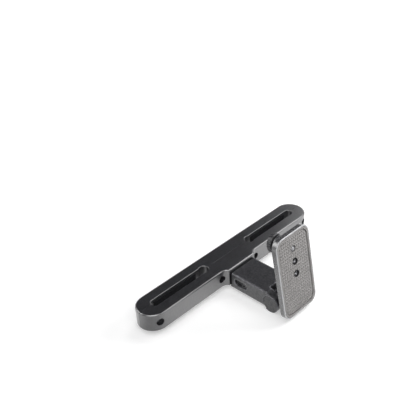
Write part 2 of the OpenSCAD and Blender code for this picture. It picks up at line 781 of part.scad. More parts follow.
// A thumb knob with a grooved rim, bevelled edges and a dished back
module knob() {
    bevel = 0.8;
    dish_r = knob_r * 0.66;
    dish = knob_t * 0.2;
    color(plastic) head_place() translate([0, 0, top_hole_z]) difference() {
        union() {
            rod_y(knob_front + bevel, knob_back - bevel, knob_r);
            translate([0, knob_front + bevel, 0]) rotate([90, 0, 0])
                cylinder(r1 = knob_r, r2 = knob_r - bevel, h = bevel);
            translate([0, knob_back, 0]) rotate([90, 0, 0])
                cylinder(r1 = knob_r - bevel, r2 = knob_r, h = bevel);
        }
        rod_y(knob_back - dish, knob_back + past, dish_r);
        rod_y(knob_front - past, knob_front + stud_sink + seat_gap, stud_d / 2 + seat_gap);
        rod_y(knob_front + stud_sink - stud_head_t - seat_gap, knob_front + stud_sink + seat_gap,
            stud_head_d / 2 + seat_gap);
        for (i = [0:knob_flutes - 1]) rotate([0, i * 360 / knob_flutes, 0])
            translate([knob_r + 0.45, 0, 0]) rod_y(knob_front - past, knob_back + past, 1);
    }
}

// The threaded stud moulded into the knob, its tip just below the pad's face
module knob_stud() {
    color(steel) head_place() translate([0, 0, top_hole_z]) {
        rod_y(stud_tip, knob_front + stud_sink, stud_d / 2);
        rod_y(knob_front + stud_sink - stud_head_t, knob_front + stud_sink, stud_head_d / 2);
    }
}

rail_front();
rail_back();
grip_strip(false, false);  // grip_strip_front_left
grip_strip(true, false);  // grip_strip_front_right
grip_strip(false, true);  // grip_strip_back_left
grip_strip(true, true);  // grip_strip_back_right
clamp_screw(0);  // clamp_screw_1
clamp_screw(1);  // clamp_screw_2
clamp_screw(2);  // clamp_screw_3
clamp_screw(3);  // clamp_screw_4
clamp_nut(0);  // clamp_nut_1
clamp_nut(1);  // clamp_nut_2
clamp_nut(2);  // clamp_nut_3
clamp_nut(3);  // clamp_nut_4
slide_tongue();
tongue_screw(-1);  // tongue_screw_left
tongue_screw(1);  // tongue_screw_right
arm_sleeve();
guide_screw(-1);  // guide_screw_left
guide_screw(1);  // guide_screw_right
hinge_bolt();
hinge_nut();
hinge_cap(-1);  // hinge_cap_left
hinge_cap(1);  // hinge_cap_right
friction_washer(-1);  // friction_washer_left
friction_washer(1);  // friction_washer_right
tilt_bracket();
plate_frame();
grip_pad();
hole_bush(1);  // hole_bush_middle
hole_bush(2);  // hole_bush_lower
plate_screw(0);  // plate_screw_1
plate_screw(1);  // plate_screw_2
plate_screw(2);  // plate_screw_3
plate_screw(3);  // plate_screw_4
collar_washer();
knob();
knob_stud();
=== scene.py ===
# %% [markdown]
# # A headrest mount for a portable player
# A split plastic rail closes round the two posts of a car seat's headrest. An arm slides out of
# the rail's middle, and a plate on a tilt hinge carries the player. This lesson dresses the
# measured solids of that mount: it opens them, adds the details that a solid modeller leaves
# out, such as screw threads and the knurl of the rubber pad, and gives each part its finish.
# %% Open the measured solids
import json
import math
import bmesh
import bpy
from mathutils import Matrix, Vector


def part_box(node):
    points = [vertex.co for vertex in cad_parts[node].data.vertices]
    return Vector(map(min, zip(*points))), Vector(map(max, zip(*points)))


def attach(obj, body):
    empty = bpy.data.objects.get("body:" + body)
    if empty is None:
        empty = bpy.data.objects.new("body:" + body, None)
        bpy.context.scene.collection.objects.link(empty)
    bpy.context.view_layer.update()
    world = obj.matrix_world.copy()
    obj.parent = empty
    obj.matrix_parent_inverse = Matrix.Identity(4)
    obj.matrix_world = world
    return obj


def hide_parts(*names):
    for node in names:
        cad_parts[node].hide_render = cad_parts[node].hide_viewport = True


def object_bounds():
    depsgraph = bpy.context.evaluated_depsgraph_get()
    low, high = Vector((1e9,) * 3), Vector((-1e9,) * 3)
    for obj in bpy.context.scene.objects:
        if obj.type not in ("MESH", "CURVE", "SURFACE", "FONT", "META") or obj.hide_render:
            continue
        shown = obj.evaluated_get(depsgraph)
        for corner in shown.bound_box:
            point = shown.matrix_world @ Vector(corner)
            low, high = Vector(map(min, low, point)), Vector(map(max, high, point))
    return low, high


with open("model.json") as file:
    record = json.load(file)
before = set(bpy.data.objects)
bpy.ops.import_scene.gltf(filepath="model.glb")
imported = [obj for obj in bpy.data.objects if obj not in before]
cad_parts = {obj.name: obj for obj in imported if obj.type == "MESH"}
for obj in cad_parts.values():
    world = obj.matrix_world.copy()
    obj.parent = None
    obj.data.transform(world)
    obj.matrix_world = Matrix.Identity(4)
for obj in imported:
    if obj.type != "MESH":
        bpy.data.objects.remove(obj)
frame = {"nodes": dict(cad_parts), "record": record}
nodes = frame["nodes"]
bpy.context.view_layer.update()
cad_low, cad_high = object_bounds()
MM = 0.001
scene = bpy.context.scene
scene.view_settings.view_transform = "Standard"
print("solids:", len(nodes), "size in mm:", [round(v / MM, 1) for v in cad_high - cad_low])

# %% [markdown]
# ## The camera
# The picture was taken from the passenger's left, about 32 degrees above the floor. The place
# and the lens below were fitted to edges of the rail, arm and plate. A camera looks along its
# own -Z, so its back vector, its right and its up make the three columns of its turn.
# %% Place the camera
VIEW_TURN = math.radians(-43.48)
VIEW_RISE = math.radians(32.16)
VIEW_ROLL = math.radians(-3.63)
VIEW_DISTANCE = 835.01 * MM
FOCAL_PIXELS = 670.46
PICTURE_SIDE = 400
SENSOR_MM = 36.0
NEAR_CLIP = 0.01
AIM_PIXEL = (227.54, 268.45)


def camera_axes(turn, rise, roll):
    back = Vector((math.sin(turn) * math.cos(rise), -math.cos(turn) * math.cos(rise), math.sin(rise)))
    level = Vector((math.cos(turn), math.sin(turn), 0))
    upright = back.cross(level)
    right = math.cos(roll) * level + math.sin(roll) * upright
    up = math.cos(roll) * upright - math.sin(roll) * level
    return right, up, back


right, up, back = camera_axes(VIEW_TURN, VIEW_RISE, VIEW_ROLL)
per_pixel = VIEW_DISTANCE / FOCAL_PIXELS
aside = (AIM_PIXEL[0] - PICTURE_SIDE / 2) * per_pixel
below = (AIM_PIXEL[1] - PICTURE_SIDE / 2) * per_pixel
camera = bpy.data.objects.new("camera", bpy.data.cameras.new("camera"))
scene.collection.objects.link(camera)
camera.matrix_world = Matrix.Translation(back * VIEW_DISTANCE - right * aside + up * below) @ Matrix(
    (right, up, back)).transposed().to_4x4()
camera.data.sensor_width = SENSOR_MM
camera.data.lens = SENSOR_MM * FOCAL_PIXELS / PICTURE_SIDE
camera.data.clip_start = NEAR_CLIP
scene.camera = camera
print("lens in mm:", round(camera.data.lens, 2), "place:", [round(v, 3) for v in camera.location])

# %% [markdown]
# ## Materials start from small node helpers
# A finish is a chain of nodes, and five short helpers keep the chains readable. One makes a
# node and links or sets its inputs. One makes noise of a real size on the object's own
# coordinates. One turns a value into a range, and one mixes two colours by a share. The last
# finds edges: there a bevelled normal turns away from the plain one.
# %% Node helpers
def add_node(tree, kind, **inputs):
    made = tree.nodes.new(kind)
    for name, value in inputs.items():
        socket = made.inputs[int(name[1:])] if name[0] == "i" and name[1:].isdigit() else made.inputs[
            name.replace("_", " ")]
        if isinstance(value, bpy.types.NodeSocket):
            tree.links.new(value, socket)
        else:
            socket.default_value = value
    return made


def noise_of(tree, size_mm, detail=2.0, stretch=(1, 1, 1)):
    place = tree.nodes.new("ShaderNodeTexCoord").outputs["Object"]
    mapped = add_node(tree, "ShaderNodeMapping", Vector=place)
    mapped.inputs["Scale"].default_value = stretch
    made = add_node(tree, "ShaderNodeTexNoise", Vector=mapped.outputs["Vector"])
    made.inputs["Scale"].default_value = 1 / (size_mm * MM)
    made.inputs["Detail"].default_value = detail
    return made.outputs["Fac"]


def ranged(tree, value, low, high, to_low, to_high):
    made = add_node(tree, "ShaderNodeMapRange", Value=value)
    for name, number in (("From Min", low), ("From Max", high), ("To Min", to_low), ("To Max", to_high)):
        made.inputs[name].default_value = number
    return made.outputs["Result"]


def mixed(tree, share, first, second):
    made = tree.nodes.new("ShaderNodeMix")
    made.data_type = "RGBA"
    tree.links.new(share, made.inputs["Factor"])
    for colour, socket in ((first, made.inputs[6]), (second, made.inputs[7])):
        if isinstance(colour, bpy.types.NodeSocket):
            tree.links.new(colour, socket)
        else:
            socket.default_value = (*colour, 1)
    return made.outputs[2]


EDGE_STARTS, EDGE_FULL, BEVEL_SAMPLES = 0.998, 0.95, 4


# The share marks the edges, which the finishes paint paler as a painted highlight.
def bevel_and_edge_highlight(tree, radius_mm):
    rounded = add_node(tree, "ShaderNodeBevel", Radius=radius_mm * MM)
    rounded.samples = BEVEL_SAMPLES
    plain = tree.nodes.new("ShaderNodeNewGeometry").outputs["Normal"]
    match = add_node(tree, "ShaderNodeVectorMath", i0=rounded.outputs["Normal"], i1=plain)
    match.operation = "DOT_PRODUCT"
    return rounded.outputs["Normal"], ranged(tree, match.outputs["Value"], EDGE_STARTS, EDGE_FULL, 0, 1)


print("node helpers ready")

# %% [markdown]
# ## Moulded plastic
# The rail, arm and bracket are moulded in black plastic. Tools leave a fine grain in it, and hands
# polish it unevenly. So the colour is a dark speckle with a lighter bloom, and the edges are
# painted paler in patches as a painted highlight; the roughness wanders a little, and a fine noise lifts the
# surface.
# %% Make a moulded plastic
PATCH_MM, SPECKLE_MM, HIGHLIGHT_PATCH_MM = 14, 2.2, 1.6
SPECKLE_DARK, SPECKLE_PALE, BLOOM_PALE = 0.45, 1.7, 1.35


def moulded(name, colour, roughness, grain_mm=0.5, grain=0.25, edge=1.5, bevel_highlight_mm=0.15, ior=1.5,
            coat=0.0, coat_rough=0.3):
    finish = bpy.data.materials.new(name)
    finish.use_nodes = True
    tree = finish.node_tree
    shader = tree.nodes["Principled BSDF"]
    smooth_normal, edge_highlight_share = bevel_and_edge_highlight(tree, bevel_highlight_mm)
    patches = noise_of(tree, PATCH_MM, 3)
    bloom = ranged(tree, patches, 0.35, 0.75, 0, 0.6)
    speckle = ranged(tree, noise_of(tree, SPECKLE_MM, 3), 0.38, 0.62, 0, 1)
    dark, pale, bloomed = ([c * share for c in colour] for share in (SPECKLE_DARK, SPECKLE_PALE, BLOOM_PALE))
    body = mixed(tree, bloom, mixed(tree, speckle, dark, pale), bloomed)
    highlight_patches = noise_of(tree, HIGHLIGHT_PATCH_MM, 4, (1, 0.35, 1))
    # Painted highlight: the edges are painted paler, broken into patches by a noise.
    patchy_edge_highlight = add_node(tree, "ShaderNodeMath", i0=edge_highlight_share, i1=ranged(tree, highlight_patches, 0.4, 0.65, 0.15, 1))
    patchy_edge_highlight.operation = "MULTIPLY"
    with_edge_highlight = mixed(tree, patchy_edge_highlight.outputs[0], body, [min(c * edge, 1) for c in colour])
    tree.links.new(with_edge_highlight, shader.inputs["Base Color"])
    tree.links.new(ranged(tree, patches, 0.3, 0.7, roughness - 0.015, roughness + 0.02),
                   shader.inputs["Roughness"])
    bump = add_node(tree, "ShaderNodeBump", Height=noise_of(tree, grain_mm, 2), Normal=smooth_normal)
    bump.inputs["Strength"].default_value = grain
    bump.inputs["Distance"].default_value = grain_mm * MM * 0.25
    tree.links.new(bump.outputs["Normal"], shader.inputs["Normal"])
    shader.inputs["IOR"].default_value = ior
    shader.inputs["Coat Weight"].default_value = coat
    shader.inputs["Coat Roughness"].default_value = coat_rough
    return finish


# The edge factor and the bevel radius after it set how pale and how wide each plastic's painted edge highlight
# is.
finishes = {
    "rail_plastic": moulded("rail plastic", (0.014, 0.014, 0.0165), 0.3, 1.1, 0.3, edge=1, ior=2.25,
                            coat=0.7, coat_rough=0.25),
    "arm_plastic": moulded("arm plastic", (0.026, 0.026, 0.029), 0.29, 1, 0.3, 12, 2.6, ior=1.6,
                           coat=0.3, coat_rough=0.22),
    "bracket_plastic": moulded("bracket plastic", (0.03, 0.03, 0.033), 0.26, 0.6, 0.12, 12, 1.8, ior=1.9,
                               coat=0.5),
    "frame_plastic": moulded("plate plastic", (0.055, 0.055, 0.058), 0.25, 0.8, 0.2, 8, 0.8, ior=2.0,
                             coat=0.5, coat_rough=0.2),
    "cap_plastic": moulded("cap plastic", (0.036, 0.036, 0.038), 0.42, 1.2, 0.8, ior=1.6),
    "tongue_plastic": moulded("tongue plastic", (0.03, 0.03, 0.033), 0.42, 0.5, 0.2, ior=1.5),
    "knob_plastic": moulded("knob plastic", (0.015, 0.015, 0.018), 0.3, 0.5, 0.1, ior=1.55, coat=0.2),
}
print("plastics:", ", ".join(sorted(finishes)))

# %% [markdown]
# ## Rubber
# The pad, the grip strips and the washers are rubber. Rubber scatters light, so it is rough and
# nearly without gloss, and dust sits in its hollows as paler patches.
# %% Make a rubber
DUST_MM, WEAR_MM, SKIN_MM, SKIN_DEPTH, SKIN_BUMP = 9, 3, 0.25, 0.05 * MM, 0.35


def rubber(name, colour, roughness, dust, ior=1.5):
    finish = bpy.data.materials.new(name)
    finish.use_nodes = True
    tree = finish.node_tree
    shader = tree.nodes["Principled BSDF"]
    patches = ranged(tree, noise_of(tree, DUST_MM, 4), 0.35, 0.7, 0, dust)
    tree.links.new(mixed(tree, patches, colour, [min(1, c * 1.6 + 0.02) for c in colour]),
                   shader.inputs["Base Color"])
    tree.links.new(ranged(tree, noise_of(tree, WEAR_MM, 3), 0.3, 0.7, roughness - 0.06, roughness + 0.06),
                   shader.inputs["Roughness"])
    bump = add_node(tree, "ShaderNodeBump", Height=noise_of(tree, SKIN_MM, 3))
    bump.inputs["Strength"].default_value = SKIN_BUMP
    bump.inputs["Distance"].default_value = SKIN_DEPTH
    tree.links.new(bump.outputs["Normal"], shader.inputs["Normal"])
    shader.inputs["IOR"].default_value = ior
    return finish


finishes["pad_rubber"] = rubber("pad rubber", (0.215, 0.207, 0.203), 0.5, 0.15)
finishes["grip_rubber"] = rubber("grip rubber", (0.006, 0.006, 0.007), 0.7, 0.2, 1.25)
finishes["washer_rubber"] = rubber("washer rubber", (0.006, 0.006, 0.007), 0.7, 0.1, 1.25)
print("rubbers:", [name for name in finishes if "rubber" in name])

# %% [markdown]
# ## Steel
# Screws, nuts and bushes are turned from bar, so fine rings run round their axis. All of them
# lie along Y in the mount, or nearly so, and a noise that is squeezed along Y and stretched
# across it draws those rings without knowing where each screw stands.
# %% Make a steel
STAIN_MM, STAIN_DARK, POLISH_MM, RING_MM, RING_SQUEEZE = 2.5, 0.72, 1.2, 1.44, 12
RING_BUMP, RING_DEPTH = 0.25, 0.02 * MM


def turned_steel(name, colour, roughness):
    finish = bpy.data.materials.new(name)
    finish.use_nodes = True
    tree = finish.node_tree
    shader = tree.nodes["Principled BSDF"]
    stain = ranged(tree, noise_of(tree, STAIN_MM, 4), 0.4, 0.75, 0, 0.7)
    tree.links.new(mixed(tree, stain, colour, [c * STAIN_DARK for c in colour]), shader.inputs["Base Color"])
    shader.inputs["Metallic"].default_value = 1
    tree.links.new(ranged(tree, noise_of(tree, POLISH_MM, 3), 0.3, 0.7, roughness - 0.08, roughness + 0.1),
                   shader.inputs["Roughness"])
    rings = noise_of(tree, RING_MM, 2, (1, RING_SQUEEZE, 1))
    bump = add_node(tree, "ShaderNodeBump", Height=rings)
    bump.inputs["Strength"].default_value = RING_BUMP
    bump.inputs["Distance"].default_value = RING_DEPTH
    tree.links.new(bump.outputs["Normal"], shader.inputs["Normal"])
    return finish


finishes["screw_steel"] = turned_steel("blackened steel", (0.16, 0.16, 0.17), 0.38)
finishes["guide_steel"] = turned_steel("guide screw steel", (0.1, 0.1, 0.105), 0.4)
finishes["nut_steel"] = turned_steel("zinc plated steel", (0.75, 0.75, 0.76), 0.24)
finishes["stud_steel"] = turned_steel("bright steel", (0.25, 0.25, 0.26), 0.24)
print("steels:", [name for name in finishes if "steel" in name])

# %% [markdown]
# ## Give every solid its finish
# The record of the solids says which finish each one has, so one loop hands them out.
# %% Hand out the finishes
slot_of = {row["node"]: row["material_slot"] for row in frame["record"]["subparts"]}
for name, solid in nodes.items():
    solid.data.materials.clear()
    solid.data.materials.append(finishes[slot_of[name]])
print("solids with a finish:", len(slot_of))

# %% [markdown]
# ## A solid that can be worked on
# The solids themselves stay as they are. A screw that gets a thread, or a pad that gets a
# knurl, starts from a copy, whose loose triangles are merged into one closed skin first.
# %% Copy a solid as one skin
WELD = 0.002 * MM


def skin_of(name):
    skin = bmesh.new()
    skin.from_mesh(nodes[name].data)
    bmesh.ops.remove_doubles(skin, verts=skin.verts, dist=WELD)
    return skin


def piece_from(skin, name, body, slot_name, replaced, smooth_degrees=35):
    mesh = bpy.data.meshes.new(name)
    skin.to_mesh(mesh)
    skin.free()
    piece = bpy.data.objects.new(name, mesh)
    scene.collection.objects.link(piece)
    mesh.materials.clear()
    mesh.materials.append(finishes[slot_name])
    for face in mesh.polygons:
        face.use_smooth = True
        face.material_index = 0
    if "custom_normal" in mesh.attributes:
        mesh.attributes.remove(mesh.attributes["custom_normal"])
    mesh.set_sharp_from_angle(angle=math.radians(smooth_degrees))
    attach(piece, body)
    if replaced:
        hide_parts(*replaced)
    print(name, "has", len(mesh.polygons), "faces")


# %% [markdown]
# ## Screw threads
# A thread is one ridge that climbs round a core. Geometry Nodes draw it with a helix and carry a
# small diamond along it, so that length, radius and pitch stay numbers that can be changed.
# %% A node tree that makes a thread
def tree_inputs(tree, **kinds):
    for name, kind in kinds.items():
        tree.interface.new_socket(name.replace("_", " "), in_out="INPUT", socket_type=f"NodeSocket{kind}")
    tree.interface.new_socket("Geometry", in_out="OUTPUT", socket_type="NodeSocketGeometry")
    return tree.nodes.new("NodeGroupInput").outputs


def finish_tree(tree, geometry, finish):
    real = add_node(tree, "GeometryNodeRealizeInstances", Geometry=geometry)
    dressed = add_node(tree, "GeometryNodeSetMaterial", Geometry=real.outputs[0], Material=finish)
    tree.links.new(dressed.outputs["Geometry"], tree.nodes.new("NodeGroupOutput").inputs["Geometry"])


HELIX_STEPS, RIDGE_SIDES = 20, 4


def thread_tree():
    tree = bpy.data.node_groups.new("thread", "GeometryNodeTree")
    given = tree_inputs(tree, Turns="Float", Core_Radius="Float", Length="Float", Ridge="Float",
                        Finish="Material")
    helix = add_node(tree, "GeometryNodeCurveSpiral", Resolution=HELIX_STEPS, Rotations=given["Turns"],
                     Start_Radius=given["Core Radius"], End_Radius=given["Core Radius"], Height=given["Length"])
    ridge = add_node(tree, "GeometryNodeCurvePrimitiveCircle", Resolution=RIDGE_SIDES, Radius=given["Ridge"])
    swept = add_node(tree, "GeometryNodeCurveToMesh", Curve=helix.outputs["Curve"],
                     Profile_Curve=ridge.outputs["Curve"], Fill_Caps=True)
    finish_tree(tree, swept.outputs["Mesh"], given["Finish"])
    return tree


def run_tree(tree, **inputs):
    holder = bpy.data.objects.new(tree.name, bpy.data.meshes.new(tree.name))
    scene.collection.objects.link(holder)
    step = holder.modifiers.new(tree.name, "NODES")
    step.node_group = tree
    for item in tree.interface.items_tree:
        if item.in_out == "INPUT" and item.name.replace(" ", "_") in inputs:
            step[item.identifier] = inputs[item.name.replace(" ", "_")]
    bpy.context.view_layer.update()
    made = bpy.data.meshes.new_from_object(holder.evaluated_get(bpy.context.evaluated_depsgraph_get()))
    holder.modifiers.remove(step)
    bpy.data.objects.remove(holder)
    return made


threading = thread_tree()
print("inputs of the thread:", [item.name for item in threading.interface.items_tree if item.in_out == "INPUT"])

# %% [markdown]
# ## Clamp screws with their threads
# Each clamp screw passes the front half and turns in a nut in the back half. Its smooth solid is
# cut at the start of the thread, waisted to the core of the thread, and joined with the ridge.
# %% Thread the clamp screws
def slice_skin(skin, point, normal, clear_outer=False):
    parts = skin.verts[:] + skin.edges[:] + skin.faces[:]
    bmesh.ops.bisect_plane(skin, geom=parts, plane_co=point, plane_no=normal, clear_outer=clear_outer)


THREAD_DEPTH, RIDGE_SINK, RIDGE_SIZE, WAIST_AT, RIDGE_AT = 0.54, 0.12, 0.42, 0.9, 0.7
TIP_NEAR = 0.01 * MM


def threaded(name, axis_point, along, start, end, radius, pitch, point, finish):
    core = radius - THREAD_DEPTH * pitch
    skin = skin_of(name)
    frame_in = Matrix.Translation(axis_point) @ along.to_track_quat("Z", "Y").to_matrix().to_4x4()
    bmesh.ops.transform(skin, matrix=frame_in.inverted(), verts=skin.verts)
    tip = max(vert.co.z for vert in skin.verts)
    for level in (start, start + pitch, tip - point):
        slice_skin(skin, (0, 0, level), (0, 0, 1))
    for vert in skin.verts:
        if start + pitch * WAIST_AT < vert.co.z and vert.co.xy.length > core:
            vert.co.xy *= core / vert.co.xy.length
        if vert.co.z > tip - TIP_NEAR:
            vert.co.xy *= 1 - point / core
    ridge = run_tree(threading, Turns=(end - start - pitch) / pitch, Core_Radius=core + RIDGE_SINK * pitch,
                     Length=end - start - pitch, Ridge=pitch * RIDGE_SIZE, Finish=finish)
    ridge.transform(Matrix.Translation((0, 0, start + pitch * RIDGE_AT)))
    skin.from_mesh(ridge)
    bmesh.ops.transform(skin, matrix=frame_in, verts=skin.verts)
    bmesh.ops.recalc_face_normals(skin, faces=skin.faces)
    return skin


SCREW_SMOOTH, SCREW_RADIUS, SCREW_PITCH, SCREW_POINT = 16 * MM, 2.5 * MM, 0.8 * MM, 0.6 * MM
THREAD_SHORT = 0.9 * MM
for number in (1, 2, 3, 4):
    name = f"clamp_screw_{number}"
    low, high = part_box(name)
    axis = Vector(((low.x + high.x) / 2, low.y, (low.z + high.z) / 2))
    skin = threaded(name, axis, Vector((0, 1, 0)), SCREW_SMOOTH, high.y - low.y - THREAD_SHORT,
                    SCREW_RADIUS, SCREW_PITCH, SCREW_POINT, finishes["screw_steel"])
    piece_from(skin, f"threaded_{name}", "front_rail", "screw_steel", [name])

# %% [markdown]
# ## The plate's own axes
# The plate leans back by 9.5 degrees about the hinge. Pieces on it are made upright, with X
# across, Y through the plate and Z up, and then carried there by one matrix.
# %% The plate's frame
LEAN = math.radians(9.5)
HINGE = Vector((0, -85 * MM, 4 * MM))
on_plate = Matrix.Translation(HINGE) @ Matrix.Rotation(-LEAN, 4, "X")
print("plate up:", [round(v, 3) for v in on_plate.to_3x3() @ Vector((0, 0, 1))])

# %% [markdown]
# ## A highlight painted on the plate's rim
# The rim's front is painted pale as a painted highlight. The paler tone
# reaches about a millimetre back from the rim's front and follows the plate's own slant.
# %% Paint a highlight on the rim
# Painted highlight: a pale band painted on the rim's front.
RIM_HIGHLIGHT_DEEP, RIM_HIGHLIGHT_FADE, RIM_HIGHLIGHT = 0.9 * MM, 0.3 * MM, (0.33, 0.33, 0.34)
skin = skin_of("plate_frame")
bmesh.ops.transform(skin, matrix=on_plate.inverted(), verts=skin.verts)
RIM_FRONT = min(vert.co.y for vert in skin.verts)
skin.free()
rearward = on_plate.to_3x3() @ Vector((0, 1, 0))
tree = finishes["frame_plastic"].node_tree
place = tree.nodes.new("ShaderNodeTexCoord").outputs["Object"]
depth = add_node(tree, "ShaderNodeVectorMath", i0=place, i1=rearward)
depth.operation = "DOT_PRODUCT"
level = RIM_FRONT + on_plate.translation.dot(rearward) + RIM_HIGHLIGHT_DEEP
share = ranged(tree, depth.outputs["Value"], level - RIM_HIGHLIGHT_FADE, level, 1, 0)
colour_in = tree.nodes["Principled BSDF"].inputs["Base Color"]
tree.links.new(mixed(tree, share, colour_in.links[0].from_socket, RIM_HIGHLIGHT), colour_in)
print("rim front in mm:", round(RIM_FRONT / MM, 2))

# %% [markdown]
# ## The knob's stud
# The stud passes the bracket and the plate, and its point shows in the pad's top hole. It gets
# a coarser thread and a longer point than the clamp screws, from the same function.
# %% Thread the stud
places = [on_plate.inverted() @ vert.co for vert in nodes["knob_stud"].data.vertices]
STUD_BACK = max(place.y for place in places)
STUD_FRONT = min(place.y for place in places)
STUD_HIGH = (max(place.z for place in places) + min(place.z for place in places)) / 2
STUD_RADIUS, STUD_PITCH, STUD_POINT = 3.175 * MM, 1.27 * MM, 1.1 * MM
STUD_SMOOTH, STUD_SHORT = 4 * MM, 1.4 * MM
skin = threaded("knob_stud", on_plate @ Vector((0, STUD_BACK, STUD_HIGH)),
                on_plate.to_3x3() @ Vector((0, -1, 0)), STUD_SMOOTH, STUD_BACK - STUD_FRONT - STUD_SHORT,
                STUD_RADIUS, STUD_PITCH, STUD_POINT, finishes["stud_steel"])
piece_from(skin, "threaded_knob_stud", "thumb_knob", "stud_steel", ["knob_stud"])

# %% [markdown]
# ## The knurled pad
# The player's back plate is pressed against a rubber pad. Rows of little pyramids with grooves
# between them cover its face. One grid of faces can carry them all: the points where every
# second row meets every second column are lifted. The sheet is then given a depth, so that it
# becomes a closed block.
# %% A node tree that makes a knurled block
def knurl_tree():
    tree = bpy.data.node_groups.new("knurl", "GeometryNodeTree")
    given = tree_inputs(tree, Columns="Int", Rows="Int", Step_Across="Float", Step_Along="Float",
                        Height="Float", Depth="Float", Finish="Material")

    def sum_of(kind, first, second=0.0):
        made = add_node(tree, "ShaderNodeMath", i0=first, i1=second)
        made.operation = kind
        return made.outputs[0]

    grid = tree.nodes.new("GeometryNodeMeshGrid")
    tree.links.new(given["Columns"], grid.inputs["Vertices X"])
    tree.links.new(given["Rows"], grid.inputs["Vertices Y"])
    tree.links.new(sum_of("SUBTRACT", given["Columns"], 1.0), grid.inputs["Size X"])
    tree.links.new(sum_of("SUBTRACT", given["Rows"], 1.0), grid.inputs["Size Y"])
    order = tree.nodes.new("GeometryNodeInputIndex").outputs[0]
    column = sum_of("FLOOR", sum_of("DIVIDE", sum_of("ADD", order, 0.5), given["Rows"]))
    row = sum_of("SUBTRACT", order, sum_of("MULTIPLY", column, given["Rows"]))
    here = tree.nodes.new("GeometryNodeInputPosition").outputs[0]
    spot = add_node(tree, "ShaderNodeSeparateXYZ", Vector=here)
    peak = sum_of("MULTIPLY", sum_of("FLOORED_MODULO", column, 2.0), sum_of("FLOORED_MODULO", row, 2.0))
    place = tree.nodes.new("ShaderNodeCombineXYZ")
    tree.links.new(sum_of("MULTIPLY", spot.outputs["X"], given["Step Across"]), place.inputs["X"])
    tree.links.new(sum_of("MULTIPLY", spot.outputs["Y"], given["Step Along"]), place.inputs["Y"])
    tree.links.new(sum_of("MULTIPLY", peak, given["Height"]), place.inputs["Z"])
    lifted = add_node(tree, "GeometryNodeSetPosition", Geometry=grid.outputs["Mesh"], Position=place.outputs[0])
    sheet = add_node(tree, "GeometryNodeTriangulate", Mesh=lifted.outputs[0])
    sheet.quad_method = "LONGEST_DIAGONAL"
    down = tree.nodes.new("ShaderNodeCombineXYZ")
    tree.links.new(sum_of("MULTIPLY", given["Depth"], -1.0), down.inputs["Z"])
    under = add_node(tree, "GeometryNodeExtrudeMesh", Mesh=sheet.outputs[0], Offset=down.outputs[0],
                     Individual=False)
    turned = add_node(tree, "GeometryNodeFlipFaces", Mesh=under.outputs["Mesh"])
    joined = tree.nodes.new("GeometryNodeJoinGeometry")
    tree.links.new(sheet.outputs[0], joined.inputs["Geometry"])
    tree.links.new(turned.outputs[0], joined.inputs["Geometry"])
    closed = add_node(tree, "GeometryNodeMergeByDistance", Geometry=joined.outputs[0], Distance=1e-6)
    finish_tree(tree, closed.outputs[0], given["Finish"])
    return tree


knurling = knurl_tree()
print("inputs of the knurl:", [item.name for item in knurling.interface.items_tree if item.in_out == "INPUT"])

# %% [markdown]
# ## Cutting with prisms
# The knurled block is cut to the pad's outline with a boolean, and so are the holes. A prism with
# rounded corners does the cutting, and a plain margin stays round the knurl, with a groove between.
# %% Prisms and cuts
def prism(half_wide, half_long, corner, front, rear, middle, steps=8):
    skin = bmesh.new()
    ring = []
    for turn in range(4):
        for step in range(steps + 1):
            angle = math.pi / 2 * (turn + step / steps)
            side = ((1, 1), (-1, 1), (-1, -1), (1, -1))[turn]
            ring.append(skin.verts.new((side[0] * (half_wide - corner) + corner * math.cos(angle), front,
                                        middle + side[1] * (half_long - corner) + corner * math.sin(angle))))
    first = skin.faces.new(ring)
    grown = bmesh.ops.extrude_face_region(skin, geom=[first])
    for made in grown["geom"]:
        if isinstance(made, bmesh.types.BMVert):
            made.co.y = rear
    bmesh.ops.recalc_face_normals(skin, faces=skin.faces)
    return skin


def round_prism(radius, front, rear, middle):
    return prism(radius, radius, radius - 0.001 * MM, front, rear, middle)


def cut_with(first, second, operation):
    pair = []
    for part in (first, second):
        mesh = bpy.data.meshes.new("cut")
        if isinstance(part, bmesh.types.BMesh):
            part.to_mesh(mesh)
            part.free()
        else:
            mesh = part
        thing = bpy.data.objects.new("cut", mesh)
        scene.collection.objects.link(thing)
        pair.append(thing)
    step = pair[0].modifiers.new("cut", "BOOLEAN")
    step.operation, step.object, step.solver = operation, pair[1], "EXACT"
    bpy.context.view_layer.update()
    made = bpy.data.meshes.new_from_object(pair[0].evaluated_get(bpy.context.evaluated_depsgraph_get()))
    for thing in pair:
        bpy.data.objects.remove(thing)
    result = bmesh.new()
    result.from_mesh(made)
    return result


print("cutting tools ready")

# %% [markdown]
# The solid pad gives the outline, and its own size says how many rows and columns of the knurl
# it takes. The pyramids reach no further than the smooth pad did, so the box stays the same.
# %% Knurl the pad
skin = skin_of("grip_pad")
bmesh.ops.transform(skin, matrix=on_plate.inverted(), verts=skin.verts)
PAD_FRONT, PAD_REAR = (pick(vert.co.y for vert in skin.verts) for pick in (min, max))
PAD_LOW, PAD_HIGH = (pick(vert.co.z for vert in skin.verts) for pick in (min, max))
PAD_HALF = max(vert.co.x for vert in skin.verts)
PAD_MIDDLE = (PAD_LOW + PAD_HIGH) / 2
PAD_LONG = (PAD_HIGH - PAD_LOW) / 2
MARGIN, GROOVE, PAD_CORNER = 1.7 * MM, 0.8 * MM, 9 * MM
BLOCK_DEPTH, PAST = 6 * MM, 2 * MM
HOLE_RADIUS, SLEEVE_OUTER, SLEEVE_INNER, END_RADIUS = 4.15 * MM, 4.1 * MM, 3.1 * MM, 3.2 * MM
KNURL_HEIGHT, STEP_ACROSS, STEP_ALONG = 1.2 * MM, 1.75 * MM, 2 * MM
HOLE_PITCH = 15.8 * MM
print("pad in mm:", [round(v / MM, 2) for v in (PAD_FRONT, PAD_REAR, PAD_HALF, PAD_LONG, PAD_MIDDLE)])
